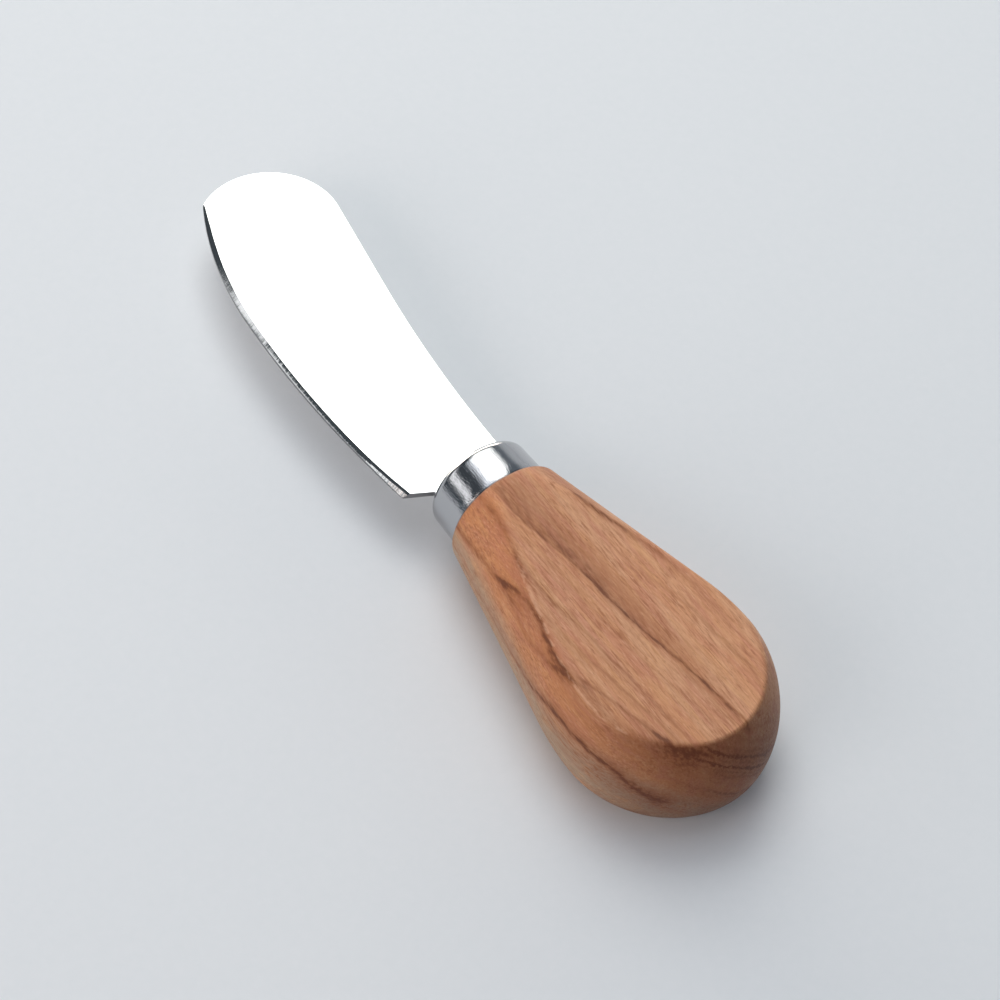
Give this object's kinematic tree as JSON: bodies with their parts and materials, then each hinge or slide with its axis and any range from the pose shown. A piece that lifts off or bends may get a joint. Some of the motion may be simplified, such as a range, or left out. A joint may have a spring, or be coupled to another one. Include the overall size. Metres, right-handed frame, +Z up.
{
  "type": "butter knife",
  "caption": "Short spreader knife: rounded steel blade with a ground edge, drawn steel ferrule and a turned, egg-shaped wooden handle with two flats.",
  "frame": {"origin": "on the plane of the handle's lower flat, under the middle of the whole knife", "axes": "+X along the knife from the butt to the tip, +Y towards the cutting edge, +Z up from the lower flat"},
  "size_m": [0.1313, 0.0326, 0.0186],
  "materials": {
    "blade_steel": "mirror polished stainless steel",
    "ferrule_steel": "finely brushed along the axis, then polished",
    "olive_wood": "oiled, sanded smooth, grain along the axis",
    "cured_resin": "cured, unseen inside the handle"
  },
  "bodies": {
    "root": {"blade": "blade_steel", "ferrule": "ferrule_steel", "handle": "olive_wood", "tang_adhesive": "cured_resin"}
  },
  "joints": []
}
